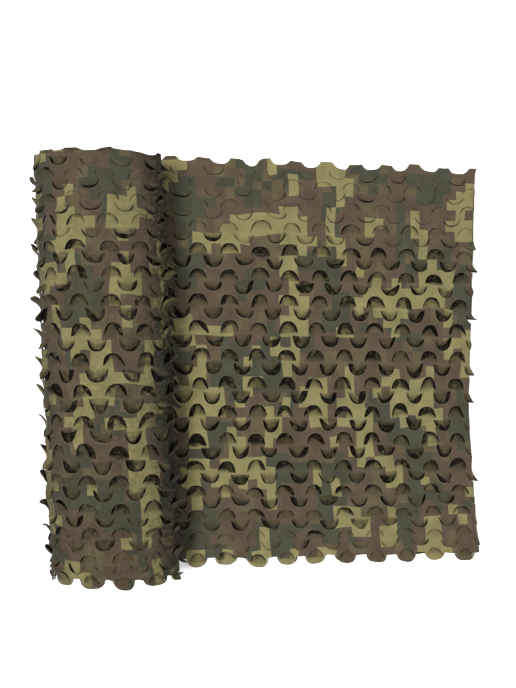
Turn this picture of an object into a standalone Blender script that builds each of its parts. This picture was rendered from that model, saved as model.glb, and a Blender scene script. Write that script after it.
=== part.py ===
"""Leaf-cut camouflage net, partly unrolled on a floor.

One cloth in two solids: the wound roll, and the loose end that leaves it, folded double at its
far end. Metres, +Z up. The origin is on the roll's flat spot, on the floor; the roll lies along
Y and the loose end runs to +X.

Places on the cloth are given as (column, share): the column of leaves along the net, counted from
the first tab clear of the roll, and the share of the net's width, 0 at its tabs, 1 at its lobes.
"""
import math

import bpy
import numpy as np
from mathutils.geometry import delaunay_2d_cdt

# ---------------------------------------------------------------- the cloth
CLOTH = 0.0020                # thickness of the sheet
GAP = 0.0003                  # between the two solids

# ---------------------------------------------------------------- rows of leaves across the net
TOP_MARGIN = 0.077            # tab tops to the first row's arcs
SHUT_HEIGHT = 0.079           # of a row that isn't drawn open
ROWS = [
    # height of the row, how open its leaves are: 0 is shut, 1 fully open
    (0.079, 0.0),
    (0.079, 0.0),
    (0.087, 0.4),
    (0.092, 0.8),
    (0.095, 1.0),
    (0.100, 1.0),
    (0.104, 1.0),
    (0.105, 1.0),
    (0.105, 1.0),
    (0.105, 1.0),
    (0.102, 1.0),
    (0.095, 1.0),
    (0.089, 0.8),
    (0.081, 0.4),
    (0.079, 0.0),
    (0.053, 0.0),             # down to the lobes' ends
]
DRIFT_COLUMNS = (0, 4, 8.5)
DRIFT = [
    # share of the net's width, how far the columns of leaves are drawn along there, in columns
    (0.00, 0.21, 0.09, -0.05),
    (0.05, 0.00, -0.06, -0.10),
    (0.20, -0.07, -0.10, -0.28),
    (0.35, -0.10, -0.21, -0.42),
    (0.50, -0.13, -0.37, -0.45),
    (0.67, -0.31, -0.42, -0.44),
    (0.80, -0.42, -0.55, -0.45),
    (1.00, -0.52, -0.62, -0.50),
]

# ---------------------------------------------------------------- a leaf
LEAF_HALF_WIDTH = 0.0374      # of the arc it is cut along
LEAF_LENGTH = 0.0314          # from its root to its crown
LEAF_REACH = math.radians(80)  # half of that arc's angle
DRAWN_IN = 0.10               # how much narrower its arc gets as its row is drawn open
ARC_STEPS = 4
CROWN_CLEAR = 0.012           # from a hanging leaf's crown down to the next row's arcs
GAP_WIDTH = 0.006             # open crescent at a leaf's crown, beside what its row's height gives
LEAF_LIFT = 0.013             # height of an open leaf's free edge
SHUT_LIFT = 0.003             # height of a shut leaf's crown
VARIETY = 0.3                 # how much gap and lift differ from leaf to leaf
LEAN = 0.3                    # how much one end of a free edge stands higher than the other
FREE_EDGE = [
    # side: share of the arc's half angle, share of the gap, share of the lift
    (0.55, 0.75, 0.55),
    (0.00, 1.00, 1.00),
    (-0.55, 0.75, 0.55),
]
FREE_NARROWING = 0.10         # how much narrower than its arc a lifted leaf looks from above

# ---------------------------------------------------------------- the loose end, seen from above
JOINT_X = 0.150               # where it leaves the roll, at y = 0
JOINT_COLUMN = -1.61
FIRST_TAB_X = 0.339           # column 0
PITCH_NEAR = 0.1165           # from column to column, by the roll
PITCH_LOSS = 0.00067          # how the pitch shrinks away from the roll
FLAT_COLUMN = 8.95            # where the flat ends and the fold starts
TAB_TOPS_Y = (0.784, 0.732)   # at the roll, at the fold
LOBE_ENDS_Y = (-0.763, -0.734)
FOLD_LINE = [
    # share of the net's width, x
    (0.00, 1.357),
    (0.25, 1.347),
    (0.48, 1.338),
    (0.62, 1.333),
    (0.80, 1.348),
    (1.00, 1.376),
]
FOLD_RADIUS = 0.0100          # of the cloth's middle surface
FOLD_STEPS = 4
FOLD_LEAVES = 0.005           # how far the leaves on the fold stand out, each way
LOWER_SHIFT_Y = -0.006        # at the fold the lower layer shows a little below the upper one
WAVE_HEIGHT = 0.0055          # of the slow waves in the upper layer
WAVES = [
    # cycles along, cycles across, phase, share of the height
    (1.2, 0.8, 0.0, 0.6),
    (-0.7, 2.2, 1.0, 0.4),
]

# ---------------------------------------------------------------- the cut edges
TAB_DEPTH = 0.026
TAB_STEPS = [
    # columns from the tab's middle, share of its depth
    (0.18, 0.00),
    (0.25, 0.60),
    (0.36, 0.93),
]
LOBE_DEPTH = 0.026
LOBE_HALF = 0.32              # in columns
LOBE_STEPS = 4

# ---------------------------------------------------------------- the roll
AXIS_SLOPE = -0.0444          # x along its axis, for each metre of y
ROLL_TAB_TOPS_Y = 0.755
ROLL_LOBE_ENDS_Y = -0.770
HALF_WIDTH = 0.226            # of its oval section, under the leaves
HALF_HEIGHT = 0.165
CENTRE_Z = 0.158
LIP_TOP_Z = 0.024             # both layers of the loose end leave it here
LIP_DROP = 0.010              # from the oval down to the lip's top
ROLL_LEAVES = 10              # columns of leaves, from the lip over the top to the floor
ROLL_LIFT = 0.014             # height of its open leaves
ROLL_SHUT_LIFT = 0.25         # share of that for its shut leaves
PRESSED_BELOW = 0.090         # under this height its leaves are pressed flat by degrees
ROLL_SWELL = 0.004            # its slow swellings
LEAF_PROFILE = [1.0, 0.6, 0.0, 0.6]   # lift at a column's middle and each quarter to the next
RELIEF_LINES = [
    # share of the row's height, lift of standing leaves, lift of hanging leaves
    (0.00, 0.0, 0.0),
    (0.16, 1.0, 0.0),
    (0.70, 0.0, 1.0),
]
COIL_CENTRE_X = 0.01          # the coil's eye, at y = 0
END_RINGS = [
    # the coil seen at each end: share of the section's size, depth below the outer turn
    (0.94, 0.004),
    (0.80, 0.018),
    (0.64, 0.006),
    (0.46, 0.020),
    (0.26, 0.008),
]
EYE_DEPTH = 0.016
COIL_SLANT = 0.4              # how much a turn's depth changes on its way round
COIL_SHIFT = 9.0              # how that change moves round from turn to turn

CLOTH_COLOURS = {
    "net_roll": (0.110, 0.090, 0.055, 1.0),
    "net_loose_end": (0.135, 0.115, 0.065, 1.0),
}
CLOTH_ROUGHNESS = 0.85
MEET = 1e-7                   # points of the flat pattern closer than this are one
MARGIN = 0.06                 # from a leaf to the fold or the joint, in columns


def clear_scene():
    for item in list(bpy.data.objects):
        bpy.data.objects.remove(item, do_unlink=True)


def cloth_material(name):
    material = bpy.data.materials.new(name + "_cloth")
    material.use_nodes = True
    shader = material.node_tree.nodes["Principled BSDF"]
    shader.inputs["Base Color"].default_value = CLOTH_COLOURS[name]
    shader.inputs["Roughness"].default_value = CLOTH_ROUGHNESS
    shader.inputs["Metallic"].default_value = 0.0
    return material


def make_object(name, points, faces):
    mesh = bpy.data.meshes.new(name)
    mesh.from_pydata(points, [], faces)
    mesh.materials.append(cloth_material(name))
    item = bpy.data.objects.new(name, mesh)
    bpy.context.scene.collection.objects.link(item)
    return item


def unevenness(*key):
    """A number from -1 to 1 that looks random but is the same for the same leaf on each run."""
    mixed = 0.0
    for place, value in enumerate(key):
        mixed += value * (12.9898, 78.233, 37.719)[place]
    fine = math.sin(mixed) * 43758.5453
    return 2.0 * (fine - math.floor(fine)) - 1.0


def slow_wave(along, share):
    """From -1 to 1, the cloth's slow rise and fall."""
    total = 0.0
    for cycles_along, cycles_across, phase, part in WAVES:
        total += part * math.sin(2 * math.pi * (cycles_along * along + cycles_across * share) + phase)
    return total


# ---------------------------------------------------------------- rows of leaves
HEIGHTS = np.array([height for height, _ in ROWS])
NET_WIDTH = TOP_MARGIN + HEIGHTS.sum()
ROW_START = (TOP_MARGIN + np.cumsum(HEIGHTS) - HEIGHTS) / NET_WIDTH


def drift(column, share):
    """How far a column of leaves is drawn along at this share of the width, in columns."""
    shares = [line[0] for line in DRIFT]
    there = [np.interp(share, shares, [line[k] for line in DRIFT]) for k in (1, 2, 3)]
    return float(np.interp(column, DRIFT_COLUMNS, there))


# ---------------------------------------------------------------- the loose end's surface
def reach_of(column):
    return FIRST_TAB_X + PITCH_NEAR * column - PITCH_LOSS * column * column


def along_of(column):
    """Share of the way from the roll to the fold."""
    near = reach_of(JOINT_COLUMN)
    return (reach_of(column) - near) / (reach_of(FLAT_COLUMN) - near)


def pitch_at(column):
    return PITCH_NEAR - 2 * PITCH_LOSS * column


FOLD_COLUMNS = math.pi * FOLD_RADIUS / pitch_at(FLAT_COLUMN)   # the fold's own length
NOSE_COLUMN = FLAT_COLUMN + FOLD_COLUMNS / 2


def mirrored(column):
    """The column in the lower layer that lies under this one."""
    return 2 * NOSE_COLUMN - column


def plan_point(column, share, lower):
    """A place in the flat seen from above; lower goes from 0 to 1 round the fold."""
    along = along_of(column)
    top = TAB_TOPS_Y[0] + (TAB_TOPS_Y[1] - TAB_TOPS_Y[0]) * along
    low = LOBE_ENDS_Y[0] + (LOBE_ENDS_Y[1] - LOBE_ENDS_Y[0]) * along
    y = top + (low - top) * share + LOWER_SHIFT_Y * lower * along
    shares, xs = zip(*FOLD_LINE)
    start = JOINT_X + GAP + AXIS_SLOPE * y
    end = float(np.interp(share, shares, xs)) - FOLD_RADIUS - FOLD_LEAVES
    return start + (end - start) * along, y


def upper_height(column, share):
    """Middle surface of the upper layer: its waves die out at the fold and at the roll."""
    along = along_of(column)
    fade = math.sqrt(math.sin(math.pi * min(max(along, 0.0), 1.0)))
    return CLOTH / 2 + 2 * FOLD_RADIUS + fade * WAVE_HEIGHT * slow_wave(along, share)


def sheet_point(column, share, lift):
    """A place on the cloth's middle surface: upper layer, round the fold, then the lower layer."""
    turned = (column - FLAT_COLUMN) / FOLD_COLUMNS
    if turned <= 0:
        x, y = plan_point(column, share, 0)
        return x, y, upper_height(column, share) + lift
    if turned >= 1:
        x, y = plan_point(mirrored(column), share, 1)
        return x, y, CLOTH / 2
    x, y = plan_point(FLAT_COLUMN, share, turned)
    angle = math.pi * turned
    row = np.interp(share, ROW_START, range(len(ROWS)))
    leaves = FOLD_LEAVES * math.cos(4 * math.pi * row)
    x += (FOLD_RADIUS + leaves * math.sin(angle)) * math.sin(angle)
    return x, y, CLOTH / 2 + FOLD_RADIUS * (1 + math.cos(angle))


# ---------------------------------------------------------------- the loose end's cut pattern
class Pattern:
    """Points of the flat cloth with their lifts, lines that must be kept, and holes."""

    def __init__(self):
        self.places = []
        self.lifts = []
        self.lines = []
        self.outline = []
        self.holes = []

    def add(self, column, share, lift=0.0):
        self.places.append((column, share))
        self.lifts.append(lift)
        return len(self.places) - 1

    def keep_line(self, chain):
        self.lines += zip(chain, chain[1:])

    def flat(self):
        """The pattern laid out in metres, lobes at the bottom."""
        return [(column * PITCH_NEAR, -share * NET_WIDTH) for column, share in self.places]

    def triangles(self):
        """Triangles of the cloth itself, with the places they use and each place's lift."""
        rings = [self.outline] + self.holes
        made = delaunay_2d_cdt(self.flat(), self.lines, rings, 1, MEET, True)
        spots, _, faces, sources, _, owners = made
        places = []
        for (x, y), source in zip(spots, sources):
            lift = max(self.lifts[k] for k in source)
            places.append((x / PITCH_NEAR, -y / NET_WIDTH, lift))
        return places, [face for face, owner in zip(faces, owners) if owner == [0]]


def feature_columns(share, half):
    """Middles of one edge's tabs or lobes, on the upper layer and then on the lower one."""
    full = range(math.ceil(JOINT_COLUMN), math.ceil(NOSE_COLUMN) + 1)
    drawn = [column + drift(column, share) for column in full]
    upper = [middle for middle in drawn if JOINT_COLUMN + half < middle < FLAT_COLUMN - half]
    return upper + [mirrored(middle) for middle in reversed(upper)]


def tab_edge():
    """Column and depth of each point of the tabbed edge."""
    edge = []
    for middle in feature_columns(0, TAB_STEPS[-1][0]):
        for step, depth in TAB_STEPS:
            edge.append((middle - step, TAB_DEPTH * depth))
            edge.append((middle + step, TAB_DEPTH * depth))
    return edge


def lobe_edge():
    """Column and depth of each point of the lobed edge."""
    edge = []
    for middle in feature_columns(1, LOBE_HALF):
        for k in range(LOBE_STEPS + 1):
            angle = math.pi * k / LOBE_STEPS
            edge.append((middle - LOBE_HALF * math.cos(angle), LOBE_DEPTH * (1 - math.sin(angle))))
    return edge


def draw_outline(pattern):
    """Both edges and both ends, with the fold's lines from edge to edge."""
    bends = [FLAT_COLUMN + FOLD_COLUMNS * k / FOLD_STEPS for k in range(FOLD_STEPS + 1)]
    stops = [JOINT_COLUMN] + bends + [mirrored(JOINT_COLUMN)]
    top = sorted(tab_edge() + [(column, TAB_DEPTH) for column in stops])
    low = sorted(lobe_edge() + [(column, LOBE_DEPTH) for column in stops])
    top_ids = {column: pattern.add(column, depth / NET_WIDTH) for column, depth in top}
    low_ids = {column: pattern.add(column, 1 - depth / NET_WIDTH) for column, depth in low}
    pattern.outline = list(low_ids.values()) + list(top_ids.values())[::-1]
    for number, column in enumerate(bends):
        nose = number == FOLD_STEPS // 2
        step = (0.25 if nose else 0.5) / len(ROWS)
        count = int((1 - ROW_START[0]) / step)
        inner = [pattern.add(column, ROW_START[0] + step * k) for k in range(count)]
        pattern.keep_line([top_ids[column]] + inner + [low_ids[column]])


def cut_leaf(pattern, column, row, hanging):
    """One crescent gap: the arc it is cut along, and the leaf's free edge, drawn back and up.

    A standing leaf has its free edge above its root, a hanging one below. As a row is drawn open
    its arcs get longer and narrower, and its leaves don't.
    """
    height, openness = ROWS[row]
    seed = 2 * row + hanging
    depth = LEAF_LENGTH * height / SHUT_HEIGHT
    half_width = LEAF_HALF_WIDTH * (1 - DRAWN_IN * openness)
    gap = depth - LEAF_LENGTH + GAP_WIDTH * (1 + VARIETY * unevenness(column, seed, 1))
    lift = LEAF_LIFT * openness * (1 + VARIETY * unevenness(column, seed, 2))
    lean = LEAN * unevenness(column, seed, 3)
    crown, way = ROW_START[row], 1
    if hanging:
        crown, way = crown + (height - CROWN_CLEAR) / NET_WIDTH, -1
    middle = column + drift(column, crown)

    def place(angle, back, up):
        across = half_width * math.sin(angle) / math.sin(LEAF_REACH) * (1 - FREE_NARROWING * (back > 0))
        drop = depth * (1 - math.cos(angle)) / (1 - math.cos(LEAF_REACH)) + back
        return pattern.add(middle + across / pitch_at(column), crown + way * drop / NET_WIDTH, up)

    arc = [place(LEAF_REACH * (2 * k / ARC_STEPS - 1), 0, 0) for k in range(ARC_STEPS + 1)]
    free = []
    for side, gap_share, lift_share in FREE_EDGE:
        free.append(place(LEAF_REACH * side, gap * gap_share, lift * (lift_share + lean * side)))
    pattern.keep_line([arc[0], arc[-1]])
    ring = arc + free
    pattern.holes.append(ring if hanging else ring[::-1])


def cut_leaves(pattern):
    """All leaves that lie whole in the upper layer: standing on full columns, hanging between."""
    reach = LEAF_HALF_WIDTH / pitch_at(FLAT_COLUMN)
    for row, (_, openness) in enumerate(ROWS):
        for half_column in range(math.ceil(2 * JOINT_COLUMN), math.ceil(2 * NOSE_COLUMN)):
            column = half_column / 2
            hanging = half_column % 2 == 1
            middle = column + drift(column, ROW_START[row])
            if not JOINT_COLUMN + reach + MARGIN < middle < FLAT_COLUMN - reach - MARGIN:
                continue
            if openness > 0:
                cut_leaf(pattern, column, row, hanging)
            elif not hanging:
                pattern.add(middle, ROW_START[row], SHUT_LIFT)


def loose_end():
    """The sheet, folded double, with its leaf gaps cut through in the upper layer."""
    pattern = Pattern()
    draw_outline(pattern)
    cut_leaves(pattern)
    places, faces = pattern.triangles()
    points = [sheet_point(column, share, lift) for column, share, lift in places]
    item = make_object("net_loose_end", points, faces)
    sheet = item.modifiers.new("cloth thickness", 'SOLIDIFY')
    sheet.thickness = CLOTH
    sheet.offset = 0.0


# ---------------------------------------------------------------- the roll
QUARTERS = len(LEAF_PROFILE)
STEPS = QUARTERS * ROLL_LEAVES
LIP_ANGLE = math.asin((LIP_TOP_Z + LIP_DROP - CENTRE_Z) / HALF_HEIGHT)
FLOOR_ANGLE = math.pi + math.asin(CENTRE_Z / HALF_HEIGHT)
FLAT_LEFT_X = HALF_WIDTH * math.cos(FLOOR_ANGLE)


def oval(step):
    """A place on the oval section, and the outward direction there."""
    angle = LIP_ANGLE + (FLOOR_ANGLE - LIP_ANGLE) * step / STEPS
    outward = np.array([math.cos(angle) / HALF_WIDTH, math.sin(angle) / HALF_HEIGHT])
    x = HALF_WIDTH * math.cos(angle)
    z = CENTRE_Z + HALF_HEIGHT * math.sin(angle)
    return x, z, outward / np.linalg.norm(outward)


def outer_section(share, standing, hanging):
    """One section of the roll: over the top from the lip to the floor, then the flat and the lip."""
    section = []
    for step in range(STEPS):
        x, z, outward = oval(step)
        lift = standing * LEAF_PROFILE[step % QUARTERS]
        lift += hanging * LEAF_PROFILE[(step + QUARTERS // 2) % QUARTERS]
        lift *= ROLL_LIFT * (1 + VARIETY * unevenness(step // 2, share))
        rise = lift + ROLL_SWELL * slow_wave(step / STEPS, share)
        rise *= min(1.0, z / PRESSED_BELOW) if step else 0.0
        section.append((x + rise * outward[0], z + rise * outward[1]))
    return section + [(FLAT_LEFT_X, 0.0), (JOINT_X, 0.0), (JOINT_X, LIP_TOP_Z)]


def inner_section(scale):
    """A turn inside the coil: as many points as the outer section, but no lip."""
    section = [oval(step)[:2] for step in range(STEPS)]
    section += [(FLAT_LEFT_X, 0.0), (0.0, 0.0), (-FLAT_LEFT_X, 0.0)]
    return [(COIL_CENTRE_X + (x - COIL_CENTRE_X) * scale, CENTRE_Z + (z - CENTRE_Z) * scale)
            for x, z in section]


def roll_lines():
    """Lines across the roll: share of its length, lift of standing and of hanging leaves."""
    lines = [(TAB_DEPTH / NET_WIDTH, 0.0, 0.0)]
    for row, (height, openness) in enumerate(ROWS):
        strength = ROLL_SHUT_LIFT + (1 - ROLL_SHUT_LIFT) * openness
        for part, standing, hanging in RELIEF_LINES:
            share = ROW_START[row] + part * height / NET_WIDTH
            if share < 1 - LOBE_DEPTH / NET_WIDTH:
                lines.append((share, standing * strength, hanging * strength))
    return lines + [(1 - LOBE_DEPTH / NET_WIDTH, 0.0, 0.0)]


class RollMesh:
    """Rings of points along the roll, each joined to the one before it."""

    def __init__(self):
        self.points = []
        self.faces = []

    def ring(self, section, ys):
        first = len(self.points)
        for (x, z), y in zip(section, ys):
            self.points.append((x + AXIS_SLOPE * y, y, z))
        return list(range(first, len(self.points)))

    def bridge(self, upper, lower):
        """Faces between a ring and the next one towards -Y."""
        for k, here in enumerate(upper):
            beside = (k + 1) % len(upper)
            self.faces.append((here, upper[beside], lower[beside], lower[k]))

    def cap(self, outer, edge_y, way):
        """Close an end with rings that step in and out as the coil does; way is +1 at the +Y end."""
        count = len(outer)
        last = outer
        for scale, depth in END_RINGS:
            ys = []
            for k in range(count):
                slant = COIL_SLANT * math.cos(2 * math.pi * k / count + COIL_SHIFT * scale)
                ys.append(edge_y - way * depth * (1 + slant))
            inner = self.ring(inner_section(scale), ys)
            self.bridge(*((inner, last) if way > 0 else (last, inner)))
            last = inner
        eye_y = edge_y - way * EYE_DEPTH
        eye = len(self.points)
        self.points.append((COIL_CENTRE_X + AXIS_SLOPE * eye_y, eye_y, CENTRE_Z))
        for k, here in enumerate(last):
            beside = last[(k + 1) % count]
            self.faces.append((eye, beside, here) if way > 0 else (eye, here, beside))


def cut_end(edge_y, reach, shift):
    """The y of each point of an end's outer turn, whose tabs or lobes stand out by reach."""
    ys = [edge_y]
    for step in range(1, STEPS):
        ys.append(edge_y + reach * LEAF_PROFILE[(step + shift) % QUARTERS])
    return ys + [edge_y] * 3


def roll():
    """The wound net: leaf relief on its outside, its coil at both ends, and the lip."""
    mesh = RollMesh()
    lines = roll_lines()
    rings = []
    for number, (share, standing, hanging) in enumerate(lines):
        y = ROLL_TAB_TOPS_Y + (ROLL_LOBE_ENDS_Y - ROLL_TAB_TOPS_Y) * share
        section = outer_section(share, standing, hanging)
        ys = [y] * len(section)
        if number == 0:
            ys = cut_end(y, TAB_DEPTH, 0)
        if number == len(lines) - 1:
            ys = cut_end(y, -LOBE_DEPTH, QUARTERS // 2)
        rings.append(mesh.ring(section, ys))
    for upper, lower in zip(rings, rings[1:]):
        mesh.bridge(upper, lower)
    mesh.cap(rings[0], ROLL_TAB_TOPS_Y - TAB_DEPTH, 1)
    mesh.cap(rings[-1], ROLL_LOBE_ENDS_Y + LOBE_DEPTH, -1)
    make_object("net_roll", mesh.points, mesh.faces)


def main():
    clear_scene()
    roll()
    loose_end()


main()
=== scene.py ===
"""Looks of the leaf-cut camouflage net: a finer cloth on the solids of its roll and loose end.

Metres, +Z up, in the frame of the CAD model. The net is one cloth, folded double at its middle and
rolled up from its two ends. Each piece is first laid out flat, where x runs along the net and y
from its tabs (0) down to its lobes, is cut, and is then wound or folded with its leaves bent out.
"""

import math

import bpy
import numpy as np
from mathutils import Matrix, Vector
from mathutils.geometry import delaunay_2d_cdt
from mathutils.kdtree import KDTree


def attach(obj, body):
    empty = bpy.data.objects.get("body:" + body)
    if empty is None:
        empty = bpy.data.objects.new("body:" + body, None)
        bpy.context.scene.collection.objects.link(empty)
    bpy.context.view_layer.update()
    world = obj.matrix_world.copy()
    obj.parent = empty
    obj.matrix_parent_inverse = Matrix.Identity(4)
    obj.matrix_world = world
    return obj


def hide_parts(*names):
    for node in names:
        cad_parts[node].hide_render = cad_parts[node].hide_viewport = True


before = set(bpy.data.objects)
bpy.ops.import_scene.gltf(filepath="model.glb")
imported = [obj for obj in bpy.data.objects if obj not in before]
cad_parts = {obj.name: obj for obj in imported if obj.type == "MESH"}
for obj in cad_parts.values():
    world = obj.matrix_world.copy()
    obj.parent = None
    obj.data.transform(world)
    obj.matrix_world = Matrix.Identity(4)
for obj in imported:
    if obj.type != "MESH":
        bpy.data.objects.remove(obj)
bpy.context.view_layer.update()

# ---- the cloth
CLOTH = 0.0020  # of the solids, whose middle surface this cloth follows
FABRIC = 0.0010  # of the fabric itself
GAP = 0.0003  # between the pieces of the loose end and of the roll

# ---- rows of leaves across the net
TOP_MARGIN = 0.077  # tab tops to the first row's arcs
SHUT_HEIGHT = 0.079  # of a row that isn't drawn open
ROWS = [
    # height of the row, how open its leaves are: 0 is shut, 1 fully open
    (0.079, 0.0),
    (0.079, 0.0),
    (0.087, 0.4),
    (0.092, 0.8),
    (0.095, 1.0),
    (0.100, 1.0),
    (0.104, 1.0),
    (0.105, 1.0),
    (0.105, 1.0),
    (0.105, 1.0),
    (0.102, 1.0),
    (0.095, 1.0),
    (0.089, 0.8),
    (0.081, 0.65),
    (0.079, 0.4),
    (0.053, 0.5),  # down to the lobes' ends
]
DRIFT_COLUMNS = (0, 4, 8.5)
DRIFT = [
    # share of the net's width, how far the columns of leaves are drawn along there, in columns
    (0.00, 0.21, 0.09, -0.05),
    (0.05, 0.00, -0.06, -0.10),
    (0.20, -0.07, -0.10, -0.28),
    (0.35, -0.10, -0.21, -0.42),
    (0.50, -0.13, -0.37, -0.45),
    (0.67, -0.31, -0.42, -0.44),
    (0.80, -0.42, -0.55, -0.45),
    (1.00, -0.52, -0.62, -0.50),
]

# ---- a leaf
LEAF_HALF = 0.0374  # of the arc it is cut along
LEAF_LENGTH = 0.0355  # from its root to its crown
LEAF_STRETCH = 0.27  # how much longer it gets as its row is drawn open
LEAF_REACH = math.radians(80)  # half of that arc's angle
DRAWN_IN = 0.06  # how much narrower it gets then
SQUARENESS = 2.45  # of its arc: 2 would be round
LAST_NARROWING = 0.85  # of the leaves in the lobes
CROWN_CLEAR = 0.006  # from a hanging leaf's crown down to the next row's arcs
LEAF_STYLES = [
    # share of the leaves, slope at the root and at the free edge in degrees, how much steeper one
    # side can be, height of the arch across the leaf, how much that draws its sides in
    (0.28, -8, -72, 40, 0.014, 0.20),  # domed and drooping
    (0.20, -36, -24, 44, 0.014, 0.22),  # sunk like a spoon
    (0.12, 22, -74, 40, 0.015, 0.20),  # humped
    (0.08, 10, 92, 38, 0.006, 0.12),  # curled up
    (0.10, 4, 46, 56, 0.012, 0.20),  # half up
    (0.05, 22, 145, 30, 0.002, 0.08),  # rolled back
    (0.17, -20, 20, 90, 0.008, 0.16),  # turned up at one corner
]
SHUT_STYLE = (1, 15, 6, 0.003, 0.02)  # of a leaf in a shut row
PRESSED_STYLE = (0, 0, 0, 0.0, 0.0)  # of a leaf in the lower layer
LEAST_OPEN = (0.22, 0.30)  # how open a shut row's leaves still are: loose end, roll
LEAF_SWAY = 0.006  # how far its free edge is shifted sideways
SLOPE_VARIETY = 0.25
LEAF_CREASE = (0.30, 0.85)  # from the leaf's middle to the crease of its folded corner
CREASED = 0.70  # share with a folded corner
CREASE_TURN = math.radians(85)
CREASE_HEADING = (48, 34)  # degrees off the leaf's own direction, and how that differs
CREASED_DOWN = 0.75  # share of them turned down
CREASED_UP = -0.8  # how far the others turn up
LEAF_CRUMPLE = (0.0016, 0.028)  # height and length of its small waves
ARCH_FORM = (0.9, 1.4)  # its arch in the middle, and how much less it is at the sides
WAIST = 1.6  # how soon its sides are drawn in
STEEP_SHARE = 3.4  # it hangs less steeply where there is little room below
# painted shade on the leaves and along their cuts, from here to LESS_WILD
LEAF_SHADE = (0.08, 0.52)  # how much darker an open leaf is than the sheet, from leaf to leaf
SHADE_RAMP = (0.06, 4.2)  # share of its length over which that fades in, and its variety
RIM_SHADE = 0.88  # how much darker it gets towards its free edge
RIM_POWER = 7  # how close to it
SIDE_SHADE = 0.60  # towards the side that hangs lower
STEEP_TWIST = 0.5  # the twist from which that is so in full
CORNER_SHADE = 0.55  # and past its crease
CORNER_DROP = 0.003
CREASED_ROOTS = 0.35  # share with painted shade of a sharp crease at the root
ROOT_SHADE = 0.45
ROOT_REACH = 0.10
SHADE_FROM = (0.28, 0.70)  # how open it is where all this starts, and where it is full
CUT_LINE = (0.25, 0.85)  # darkness of the line along its cut, least and most
CUT_LINE_BREAKS = (1.6, -0.2, 0.6)  # how often it changes, and the wave's heights for the two
LEAF_DULL = 0.52  # how far its print is dulled with that painted shade, from this darkness on
LEAF_DULLED = 0.22
LESS_WILD = 0.5  # how much less dark a wildly standing leaf is
EDGE_GIVE = 0.014  # how far from the arc the cloth gives
EDGE_PULL = 0.0025  # how far its edge is drawn off the arc, or over it
EDGE_RISE = (-0.002, 0.006)  # how far it sinks or rises beyond an arc's crown
TUG = 0.0055  # how far all of it is drawn out of line
TUG_LENGTHS = (0.21, 0.18)  # of those waves
LEAF_ROOM = 1.1  # half widths from a leaf to its cloth's ends

# ---- the cut edges
TAB_DEPTH = 0.025
TAB_PROFILE = [
    # columns from the tab's middle, share of the tab's depth
    (0.17, 0.00),
    (0.20, 0.30),
    (0.25, 0.62),
    (0.30, 0.82),
    (0.36, 0.93),
    (0.43, 0.98),
]
LOBE_DEPTH = 0.026
LOBE_HALF = 0.0375
EDGE_ROOM = 0.45  # columns from a tab or lobe to its cloth's ends
EVEN_EDGES = (0.034, 0.15)  # lobe depth, and how unlike each other the tabs and lobes are
ROUGH_EDGES = (0.038, 1.0)
LOBE_WIDER = (-0.08, 0.36)  # share by which a lobe's width differs
LOBE_SHORTER = (0.0, 0.30)  # and of its depth
VALLEY_SHALLOWER = (0.0, 0.75)  # the same for the cut between two tabs
FLAT_CURL = (0.008, 0.20)  # how far their ends bend up or down, and how that shortens them
ROLL_CURL = (0.024, 0.75)
CURL_LEAN = 0.6  # how much more one side is bent than the other
CURL_ASIDE = 0.3  # how far that shifts the end
EDGE_COVER = 1.3  # in tab or lobe depths: this far in, the layer above covers all

# ---- the loose end
JOINT_X = 0.150  # where it leaves the roll, at y = 0
JOINT_COLUMN = -1.61
FIRST_TAB_X = 0.339  # column 0
PITCH_NEAR = 0.1165  # from column to column, by the roll
PITCH_LOSS = 0.00067  # how the pitch shrinks away from the roll
FLAT_COLUMN = 8.95  # where the fold starts
TAB_TOPS_Y = (0.784, 0.732)  # at the roll, at the fold
LOBE_ENDS_Y = (-0.763, -0.734)
FOLD_LINE = [
    # share of the net's width, x
    (0.00, 1.357),
    (0.25, 1.347),
    (0.48, 1.338),
    (0.62, 1.333),
    (0.80, 1.348),
    (1.00, 1.376),
]
FOLD_RADIUS = 0.0100  # of the cloth's middle surface
FOLD_LEAVES = 0.005  # how far its leaves stand out, each way
LOWER_SHIFT_Y = -0.002
WAVE_HEIGHT = 0.0055  # of the slow waves in the upper layer
WAVES = [
    # cycles along, cycles across, phase, share of the height
    (1.2, 0.8, 0.0, 0.6),
    (-0.7, 2.2, 1.0, 0.4),
]
LOWEST_UPPER_Z = 0.0035  # of the upper layer's leaves
FOLD_OPEN = 0.50  # how open the leaves on the fold are
FOLD_NEAR = 0.35  # columns before it from which that is so
FLAT_SINK = 0.017  # how far a leaf may hang below its sheet
FLAT_UNEVEN = (0.0012, 0.16)  # height and length of its small waves
FLAT_SEEDS = (3, 5)  # of those, and of the tug

# ---- the roll
AXIS_SLOPE = -0.0444  # x along its axis, for each metre of y
ROLL_TAB_TOPS_Y = 0.755
ROLL_LOBE_ENDS_Y = -0.770
HALF_WIDTH = 0.226  # of its oval section, under the leaves
HALF_HEIGHT = 0.165
CENTRE_Z = 0.158
LIP_TOP_Z = 0.024
LIP_DROP = 0.010
ROLL_PITCH = 0.1115  # from column to column of leaves
FIRST_FROM_TOP = 0.050  # column 0, along the cloth from the highest line
PRESSED_BELOW = 0.090  # under this height its leaves are pressed flat by degrees
WILD_FROM = 0.62  # share of the half width beyond which they stand out wildly
WILD_END = 0.85  # how far the free edge takes on its slope below
WILD_TWIST = 20  # degrees of twist more
NO_STAND = ((0, 0), (0, 0))
FAR_STAND = ((42, -34), (2, 36))  # slopes at the root and the free edge of such leaves
CREASE_STAND = ((34, 44), (2, 84))  # and over the loose end
CRUMPLED = (0.05, -0.62)  # they do so here too: shares of the width and the half width
CRUMPLED_REACH = (0.07, 0.30)
TURNED_FROM = 0.60  # share from which its sides are darker, as painted shade where they turn from the light
TURNED_SHADE = (0.42, 0.74)  # on its far side, and towards the loose end
TURNED_LEAVES = 0.45  # how much of that its leaves get
ROLL_SHADE = (0.12, 0.28)  # how much darker it is at its tabs and at its lobes
ROLL_SWELL = 0.004
COIL_CENTRE_X = 0.01
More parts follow.
